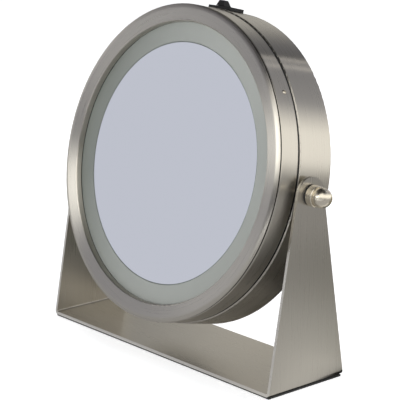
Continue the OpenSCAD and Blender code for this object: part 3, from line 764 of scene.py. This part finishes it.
def soften(node, edge):
    mesh = nodes[node].data.copy()
    shape = weldedShape(mesh)
    bmesh.ops.dissolve_limit(shape, angle_limit=softAngles["flat"], verts=shape.verts, edges=shape.edges)
    shape.normal_update()
    for vert in shape.verts:
        vert.co -= vert.normal * edge["clearance"]
    shape.to_mesh(mesh)
    shape.free()
    piece = addObject(node + "_soft", mesh)
    bevel = piece.modifiers.new("softEdge", "BEVEL")
    bevel.width = edge["width"]
    bevel.segments = edge["segments"]
    bevel.limit_method = "ANGLE"
    bevel.angle_limit = softAngles["sharp"]
    bevel.harden_normals = True
    standIn(piece, node)


for node, settings in softEdges.items():
    soften(node, settings)
print("edges softened on", len(softEdges), "nodes")


# the drum's three rings, with rounded seam edges and normals that turn evenly round the drum

drumRings = ["front_bezel", "middle_band", "rear_shell"]
seamEdge = {"width": 0.9 * mm, "segments": 4, "sharp": math.radians(30), "reach": 0.1 * mm,
            "turnedLean": 0.15}


def turnEvenly(mesh, turnedLean):
    # a turned face has no lean along the way round; faces that are not turned keep theirs
    normals = []
    for loop, corner in zip(mesh.loops, mesh.corner_normals):
        way = drumBack.cross(flatArm(mesh.vertices[loop.vertex_index].co)).normalized()
        normal = corner.vector.copy()
        along = normal.dot(way)
        if abs(along) < turnedLean:
            normal = (normal - along * way).normalized()
        normals.append(normal)
    mesh.normals_split_custom_set(normals)


def roundRing(node, seam):
    mesh = nodes[node].data.copy()
    shape = weldedShape(mesh)
    weight = shape.edges.layers.float.new("bevel_weight_edge")
    outer = max(flatArm(vert.co).length for vert in shape.verts)
    for edge in shape.edges:
        onRim = min(flatArm(vert.co).length for vert in edge.verts) > outer - seam["reach"]
        if onRim and edge.is_manifold and edge.calc_face_angle() > seam["sharp"]:
            edge[weight] = 1.0
    for face in shape.faces:
        face.smooth = True
    shape.to_mesh(mesh)
    shape.free()
    mesh.attributes.remove(mesh.attributes["custom_normal"])
    mesh.set_sharp_from_angle(angle=seam["sharp"])
    piece = addObject(node + "_round", mesh)
    bevel = piece.modifiers.new("seamEdge", "BEVEL")
    bevel.width = seam["width"]
    bevel.segments = seam["segments"]
    bevel.limit_method = "WEIGHT"
    weighted = piece.modifiers.new("evenFaces", "WEIGHTED_NORMAL")
    weighted.keep_sharp = True
    makePlain(piece)
    turnEvenly(piece.data, seam["turnedLean"])
    standIn(piece, node)


for node in drumRings:
    roundRing(node, seamEdge)
print("drum rings rounded")


# repeating detail, built with geometry nodes and kept as plain meshes

geometryOutput = {"Geometry": "NodeSocketGeometry"}


def endGeometry(group, geometry, material, result):
    real = addNode(group, "GeometryNodeRealizeInstances", {"Geometry": geometry})
    dressed = addNode(group, "GeometryNodeSetMaterial", {
        "Geometry": real.outputs[0], "Material": material})
    group.links.new(dressed.outputs[0], result["Geometry"])


def bake(name, group, values):
    piece = addObject(name, bpy.data.meshes.new(name))
    modifier = piece.modifiers.new("detail", "NODES")
    modifier.node_group = group
    for item in group.interface.items_tree:
        if item.in_out == "INPUT":
            modifier[item.identifier] = values[item.name]
    makePlain(piece)
    piece.data.validate()
    return piece


def makeSpots(name, places):
    # points that carry the way each instance faces
    mesh = bpy.data.meshes.new(name)
    mesh.from_pydata([place for place, way in places], [], [])
    ways = mesh.attributes.new("way", "FLOAT_VECTOR", "POINT")
    for item, (place, way) in zip(ways.data, places):
        item.vector = way
    return addObject(name, mesh)


def placeOnSpots(group, spots, shape):
    # the shape on every spot, its Z axis along the spot's way
    points = addNode(group, "GeometryNodeObjectInfo", {"Object": spots})
    way = addNode(group, "GeometryNodeInputNamedAttribute", {"Name": "way"}, data_type="FLOAT_VECTOR")
    turn = addNode(group, "FunctionNodeAlignRotationToVector", {"Vector": way.outputs["Attribute"]},
                   axis="Z")
    placed = addNode(group, "GeometryNodeInstanceOnPoints", {
        "Points": points.outputs["Geometry"], "Instance": shape, "Rotation": turn.outputs[0]})
    return placed.outputs["Instances"]


# cross recesses in the screws' heads

screwRecess = {
    "band_screws": {"size": (1.9 * mm, 0.45 * mm, 0.9 * mm), "outward": True},
    "back_screws": {"size": (2.8 * mm, 0.6 * mm, 1.4 * mm), "outward": False},
}


def makeRecessGroup():
    group, given, result = newGroup("GeometryNodeTree", "crossRecess", {
        "Screws": "NodeSocketObject", "Spots": "NodeSocketObject", "Size": "NodeSocketVector",
        "Material": "NodeSocketMaterial"}, geometryOutput)
    bar = addNode(group, "GeometryNodeMeshCube", {"Size": given["Size"]})
    cross = addNode(group, "GeometryNodeTransform", {
        "Geometry": bar.outputs["Mesh"], "Rotation": (0, 0, math.pi / 2)})
    body = addNode(group, "GeometryNodeObjectInfo", {"Object": given["Screws"]})
    welded = addNode(group, "GeometryNodeMergeByDistance", {
        "Geometry": body.outputs["Geometry"], "Distance": weldReach})
    cut = addNode(group, "GeometryNodeMeshBoolean", {"Mesh 1": welded.outputs[0]}, operation="DIFFERENCE")
    for shape in (bar.outputs["Mesh"], cross.outputs[0]):
        placed = placeOnSpots(group, given["Spots"], shape)
        real = addNode(group, "GeometryNodeRealizeInstances", {"Geometry": placed})
        group.links.new(real.outputs[0], cut.inputs["Mesh 2"])
    endGeometry(group, cut.outputs["Mesh"], given["Material"], result)
    return group


def islands(node):
    # the corner points of each separate solid in a node
    shape = weldedShape(nodes[node].data)
    seen = set()
    found = []
    for seed in shape.verts:
        if seed in seen:
            continue
        seen.add(seed)
        solid = [seed]
        for vert in solid:
            others = [edge.other_vert(vert) for edge in vert.link_edges]
            fresh = [other for other in others if other not in seen]
            seen.update(fresh)
            solid.extend(fresh)
        found.append([vert.co.copy() for vert in solid])
    shape.free()
    return found


def headSpots(node, outward):
    # the top of each screw's head, with the way out of the drum
    places = []
    for points in islands(node):
        middle = sum(points, Vector()) / len(points)
        way = flatArm(middle).normalized() if outward else drumBack
        reach = max((point - middle).dot(way) for point in points)
        places.append((middle + way * reach, way))
    return places


def crossScrews(node, group, recess):
    spots = makeSpots(node + "_spots", headSpots(node, recess["outward"]))
    piece = bake(node + "_cross", group, {
        "Screws": nodes[node], "Spots": spots, "Size": recess["size"],
        "Material": materialOf["polishedNickel"]})
    bpy.data.objects.remove(spots)
    standIn(piece, node)


recessGroup = makeRecessGroup()
for node, settings in screwRecess.items():
    crossScrews(node, recessGroup, settings)
print("recesses cut in", len(screwRecess), "sets of screws")


# thread ridges on the spacers, which run from the drum out to the arms

thread = {"pitch": 1.0 * mm, "ridge": 0.26 * mm, "turnSteps": 48, "ridgeSides": 10, "coreSides": 64}


def makeThreadGroup(screw):
    group, given, result = newGroup("GeometryNodeTree", "threads", {
        "Spots": "NodeSocketObject", "Turns": "NodeSocketFloat", "Radius": "NodeSocketFloat",
        "Length": "NodeSocketFloat", "Ridge": "NodeSocketFloat", "Material": "NodeSocketMaterial"},
        geometryOutput)
    way = addNode(group, "GeometryNodeCurveSpiral", {
        "Resolution": screw["turnSteps"], "Rotations": given["Turns"], "Start Radius": given["Radius"],
        "End Radius": given["Radius"], "Height": given["Length"]})
    ring = addNode(group, "GeometryNodeCurvePrimitiveCircle", {
        "Resolution": screw["ridgeSides"], "Radius": given["Ridge"]})
    ridge = addNode(group, "GeometryNodeCurveToMesh", {
        "Curve": way.outputs["Curve"], "Profile Curve": ring.outputs["Curve"], "Fill Caps": True})
    core = addNode(group, "GeometryNodeMeshCylinder", {
        "Vertices": screw["coreSides"], "Radius": given["Radius"], "Depth": given["Length"]},
        fill_type="NONE")
    middle = joinVector(group, Z=mathNode(group, "MULTIPLY", given["Length"], 0.5))
    raised = addNode(group, "GeometryNodeTransform", {
        "Geometry": core.outputs["Mesh"], "Translation": middle})
    both = addNode(group, "GeometryNodeJoinGeometry")
    group.links.new(ridge.outputs[0], both.inputs[0])
    group.links.new(raised.outputs[0], both.inputs[0])
    smooth = addNode(group, "GeometryNodeSetShadeSmooth", {"Geometry": both.outputs[0]})
    placed = placeOnSpots(group, given["Spots"], smooth.outputs[0])
    endGeometry(group, placed, given["Material"], result)
    return group


def threadSpacer(node, side, group, screw):
    low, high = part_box(node)
    length = high[0] - low[0]
    core = (high[2] - low[2]) / 2 - screw["ridge"]
    foot = Vector((low[0] if side > 0 else high[0], pivot.y, pivot.z))
    spots = makeSpots(node + "_spots", [(foot, side * drumRight)])
    piece = bake(node + "_thread", group, {
        "Spots": spots, "Turns": length / screw["pitch"], "Radius": core, "Length": length,
        "Ridge": screw["ridge"], "Material": materialOf["polishedNickel"]})
    bpy.data.objects.remove(spots)
    standIn(piece, node)


threadGroup = makeThreadGroup(thread)
for node, side in (("right_spacer", 1), ("left_spacer", -1)):
    threadSpacer(node, side, threadGroup, thread)
print("threads cut on the spacers")
